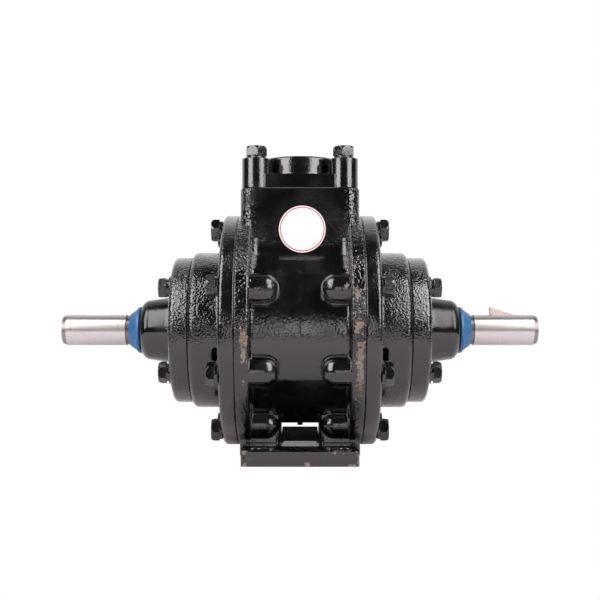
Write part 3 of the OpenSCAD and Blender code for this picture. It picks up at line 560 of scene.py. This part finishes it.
class PUMP_OT_finish_inner_works(bpy.types.Operator):
    """Finish the rotor, vanes, liner, wear discs, bearings and shaft seals"""

    bl_idname = "pump.finish_inner_works"
    bl_label = "Finish the inner works"

    def execute(self, context):
        vanes = [name for name in frame["nodes"] if name.startswith("vane_")]
        races = [f"bearing_{part}_{side}" for part in ("outer", "inner", "balls") for side in SIDES]
        # Machined grey iron: fine graphite speckle, dull silver
        cover(["rotor", "liner"],
              speckled("machined_grey_iron", linear("#77777a"), linear("#55555a"), 0.8 * MM,
                       0.42, 0.01 * MM, Metallic=1.0))
        # Filled phenolic: near black, satin, with short fibres
        cover(vanes,
              speckled("filled_phenolic", linear("#26211d"), linear("#3a322b"), 0.6 * MM, 0.45, 0.02 * MM))
        # Turned bronze: warm, smooth
        cover(["disc_left", "disc_right", "bearing_cage_left", "bearing_cage_right"],
              speckled("turned_bronze", linear("#c08d4f"), linear("#9c6f3c"), 1.0 * MM, 0.3, Metallic=1.0))
        # Hardened and polished bearing steel: near mirror
        cover(races,
              speckled("polished_bearing_steel", linear("#d2d2d3"), linear("#bcbcbe"), 2.0 * MM, 0.12,
                       Metallic=1.0))
        # Lapped carbon graphite: black, satin
        cover(["seal_ring_left", "seal_ring_right"],
              speckled("lapped_carbon_graphite", linear("#1d1d1f"), linear("#2b2b2e"), 0.5 * MM, 0.3))
        # Sintered alumina: off white, dense
        cover(["seal_seat_left", "seal_seat_right"],
              speckled("sintered_alumina", linear("#e6e1d6"), linear("#d8d2c4"), 0.7 * MM, 0.3))
        return {"FINISHED"}


class PUMP_OT_finish_rubber(bpy.types.Operator):
    """Finish the blue dirt shields, the lip seals, the O-rings and the gaskets"""

    bl_idname = "pump.finish_rubber"
    bl_label = "Finish the rubber parts"

    def execute(self, context):
        look = context.scene.pump_rubber
        # Moulded polyurethane rubber: saturated, satin, with a faint bloom
        cover(["dirt_shield_left", "dirt_shield_right"],
              speckled("moulded_blue_rubber", look.shield, linear("#2f6796"), 3.0 * MM,
                       0.42, 0.02 * MM, IOR=1.5))
        # Nitrile rubber: black, matt
        cover(["grease_seal_left", "grease_seal_right", "head_o_ring_left", "head_o_ring_right"],
              speckled("nitrile_rubber", linear("#17171a"), linear("#222226"), 1.0 * MM, 0.55, IOR=1.5))
        # Fibre gasket sheet: grey, fibrous, matt
        cover(["cover_gasket_left", "cover_gasket_right", "outlet_gasket", "inlet_gasket", "relief_gasket"],
              speckled("fibre_gasket_sheet", linear("#3c3b3c"), linear("#57565a"), 0.8 * MM,
                       0.8, 0.03 * MM))
        return {"FINISHED"}


class PUMP_OT_print_badge(bpy.types.Operator):
    """Print the thin ring on the plain badge"""

    bl_idname = "pump.print_badge"
    bl_label = "Print the badge"

    def execute(self, context):
        look = context.scene.pump_badge
        low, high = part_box("badge")
        # Printed vinyl film: white, smooth, with a soft gloss
        material, tree, place = start_finish("printed_vinyl_film")
        offset = put(tree, "VectorMath", place, (low + high) / 2, operation="SUBTRACT")
        flat = put(tree, "VectorMath", offset, (1, 0, 1), operation="MULTIPLY")
        radius = put(tree, "VectorMath", flat, operation="LENGTH").outputs["Value"]
        on_ring = put(tree, "Math", radius, look.ring, look.ring_width / 2, operation="COMPARE")
        tone = put(tree, "Mix", on_ring, inputs={6: rgba(look.film), 7: rgba(look.ink)}, data_type="RGBA")
        bubbles = put(tree, "TexNoise", inputs={"Vector": place, "Scale": 1 / look.bubble, "Detail": 1.0})
        close_finish(tree, {
            "Base Color": tone.outputs[2],
            "IOR": 1.46,
            "Roughness": put(tree, "MapRange", bubbles, 0.0, 1.0, 0.3, 0.45),
            "Normal": put(tree, "Bump", inputs={"Height": bubbles, "Distance": look.bubble_height}),
        })
        cover(["badge"], material)
        return {"FINISHED"}


class PUMP_OT_cut_port_threads(bpy.types.Operator):
    """Wind the pipe thread into the bore of both port flanges"""

    bl_idname = "pump.cut_port_threads"
    bl_label = "Cut the port threads"

    def execute(self, context):
        look = context.scene.pump_threads
        # Freshly cut grey iron with a film of oil: bright flanks, dark roots
        iron = speckled("oiled_thread_iron", linear("#59585a"), linear("#2f2e30"), 1.0 * MM, 0.3,
                        Metallic=1.0)
        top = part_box("outlet_flange")[1].z - look.mouth
        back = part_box("inlet_flange")[1].y - look.mouth
        to_outlet = Matrix.Translation((0, 0, top))
        to_inlet = Matrix.Translation((0, back, SHAFT_HEIGHT)) @ Matrix.Rotation(-math.pi / 2, 4, "X")
        self.wind(context, look, "outlet_thread", to_outlet, iron)
        self.wind(context, look, "inlet_thread", to_inlet, iron)
        return {"FINISHED"}

    def wind(self, context, look, name, placing, iron):
        """Winds one thread down from the mouth of its bore; the root of the tooth lies in the wall."""
        in_wall = 0.4 * MM
        half_root_share, crest_share = 0.46, 0.1
        steps_a_turn = 48
        root = look.bore / 2 + in_wall
        crest = look.bore / 2 - look.height
        half = look.pitch * half_root_share
        flat = half * crest_share
        corners = [(root, 0, -half), (crest, 0, -flat), (crest, 0, flat), (root, 0, half)]
        mesh = bmesh.new()
        tooth = mesh.faces.new([mesh.verts.new(corner) for corner in corners])
        bmesh.ops.translate(mesh, verts=mesh.verts, vec=(0, 0, -half))
        bmesh.ops.spin(mesh, geom=[tooth, *tooth.edges, *tooth.verts], cent=(0, 0, 0), axis=(0, 0, 1),
                       dvec=(0, 0, -look.pitch / steps_a_turn), angle=2 * math.pi * look.turns,
                       steps=steps_a_turn * look.turns, use_merge=False, use_duplicate=False)
        bmesh.ops.recalc_face_normals(mesh, faces=mesh.faces)
        bmesh.ops.transform(mesh, matrix=placing, verts=mesh.verts)
        data = bpy.data.meshes.new(name)
        mesh.to_mesh(data)
        mesh.free()
        data.materials.append(iron)
        thread = bpy.data.objects.new(name, data)
        context.scene.collection.objects.link(thread)
        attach(thread, "pump_casing")


class PUMP_OT_set_studio(bpy.types.Operator):
    """Set the pale floor, the soft lights, the world and the camera"""

    bl_idname = "pump.set_studio"
    bl_label = "Set the studio"

    def execute(self, context):
        look = context.scene.pump_studio
        context.scene.view_settings.view_transform = "Standard"
        self.lay_floor(context, look)
        self.stand_card(context, look)
        for side in (-1, 1):
            self.hang_softbox(context, look, side)
        self.light_world(context)
        self.set_camera(context, look)
        return {"FINISHED"}

    def set_camera(self, context, look):
        """A level camera square to the shaft, with its picture shifted up."""
        camera = bpy.data.objects.new("camera", bpy.data.cameras.new("camera"))
        camera.location = (0, -look.distance, look.height)
        camera.rotation_euler = (math.pi / 2, 0, 0)
        camera.data.lens = look.lens
        camera.data.sensor_width = 36
        camera.data.shift_y = look.rise
        context.scene.collection.objects.link(camera)
        context.scene.camera = camera

    def stand(self, context, name, mesh, material):
        """Makes a stage object of a bmesh. It lights the pump, and the camera doesn't see it."""
        data = bpy.data.meshes.new(name)
        mesh.to_mesh(data)
        mesh.free()
        data.materials.append(material)
        thing = bpy.data.objects.new(name, data)
        thing.visible_camera = False
        context.scene.collection.objects.link(thing)

    def lay_floor(self, context, look):
        """A sheet of matt paper that lights the pump from below."""
        material, tree, _ = start_finish("matt_backdrop_paper")
        close_finish(tree, {"Base Color": rgba(linear("#ddd7dc")), "Roughness": 0.9})
        mesh = bmesh.new()
        bmesh.ops.create_circle(mesh, cap_ends=True, radius=look.floor, segments=96)
        self.stand(context, "floor", mesh, material)

    def stand_card(self, context, look):
        """A low white card behind the camera, which shows only in the front of the barrel."""
        material, tree, _ = start_finish("white_card")
        close_finish(tree, {"Base Color": (0, 0, 0, 1), "Emission Color": rgba(linear("#f6f0f2")),
                            "Emission Strength": look.card_glow})
        placing = Matrix.Translation((0, -look.card_distance, look.card_height / 2))
        upright = Matrix.Rotation(math.pi / 2, 4, "X")
        size = Matrix.Diagonal((look.card_width, look.card_height, 1, 1))
        mesh = bmesh.new()
        bmesh.ops.create_grid(mesh, x_segments=1, y_segments=1, size=0.5)
        bmesh.ops.transform(mesh, verts=mesh.verts, matrix=placing @ upright @ size)
        self.stand(context, "white_card", mesh, material)

    def hang_softbox(self, context, look, side):
        """A tall softbox that leans over the pump from one side of the camera."""
        light = bpy.data.lights.new(f"softbox_{SIDES[side > 0]}", "AREA")
        light.shape = "RECTANGLE"
        light.size = look.softbox_width
        light.size_y = look.softbox_height
        light.energy = look.softbox_power
        light.color = linear("#fffbfa")
        box = bpy.data.objects.new(light.name, light)
        towards = Vector((side * math.sin(look.turn), -math.cos(look.turn), math.tan(look.lift)))
        towards.normalize()
        box.location = Vector((0, 0, SHAFT_HEIGHT)) + look.softbox_distance * towards
        leaning = towards.to_track_quat("Z", "Y") @ Quaternion((0, 0, 1), -side * look.roll)
        box.rotation_euler = leaning.to_euler()
        box.visible_camera = False
        context.scene.collection.objects.link(box)

    def light_world(self, context):
        """Pale to the camera. What the gloss and the floor see is a dark room with a pale back wall."""
        # How far backwards a ray points where the back wall starts, and where it is fully pale
        wall_starts, wall_is_pale = 0.15, 0.6
        world = bpy.data.worlds.new("studio")
        world.use_nodes = True
        tree = world.node_tree
        tree.nodes.clear()
        backwards = put(tree, "SeparateXYZ", put(tree, "TexCoord").outputs["Generated"]).outputs[1]
        behind = put(tree, "MapRange", backwards, wall_starts, wall_is_pale)
        room = put(tree, "Mix", behind, data_type="RGBA", inputs={
            6: rgba(linear("#2c2b2c")), 7: rgba(linear("#f4f3f3"))})
        lit = put(tree, "Background", room.outputs[2])
        seen = put(tree, "Background", rgba(linear("#ffffff")))
        is_camera = put(tree, "LightPath").outputs["Is Camera Ray"]
        put(tree, "OutputWorld", put(tree, "MixShader", is_camera, lit, seen))
        context.scene.world = world


OPERATORS = [PUMP_OT_paint_castings, PUMP_OT_paint_bolts, PUMP_OT_finish_metal, PUMP_OT_finish_inner_works,
             PUMP_OT_finish_rubber, PUMP_OT_print_badge, PUMP_OT_cut_port_threads, PUMP_OT_set_studio]
SETTINGS = {"pump_enamel": EnamelSettings, "pump_metal": MetalSettings, "pump_rubber": RubberSettings,
            "pump_badge": BadgeSettings, "pump_threads": ThreadSettings, "pump_studio": StudioSettings}


class PUMP_PT_finishes(bpy.types.Panel):
    """Sidebar panel with one button for each group of pieces"""

    bl_label = "Vane pump"
    bl_idname = "PUMP_PT_finishes"
    bl_space_type = "VIEW_3D"
    bl_region_type = "UI"
    bl_category = "Vane pump"

    def draw(self, context):
        for operator in OPERATORS:
            self.layout.operator(operator.bl_idname)
        for name in SETTINGS:
            group = getattr(context.scene, name)
            box = self.layout.box()
            for prop in group.bl_rna.properties:
                if prop.identifier not in ("rna_type", "name"):
                    box.prop(group, prop.identifier)


CLASSES = [*SETTINGS.values(), *OPERATORS, PUMP_PT_finishes]


def register():
    for cls in CLASSES:
        bpy.utils.register_class(cls)
    for name, group in SETTINGS.items():
        setattr(bpy.types.Scene, name, PointerProperty(type=group))


def unregister():
    for name in SETTINGS:
        delattr(bpy.types.Scene, name)
    for cls in reversed(CLASSES):
        bpy.utils.unregister_class(cls)


def main():
    register()
    for operator in OPERATORS:
        group, name = operator.bl_idname.split(".")
        getattr(getattr(bpy.ops, group), name)()


if __name__ == "__main__":
    main()
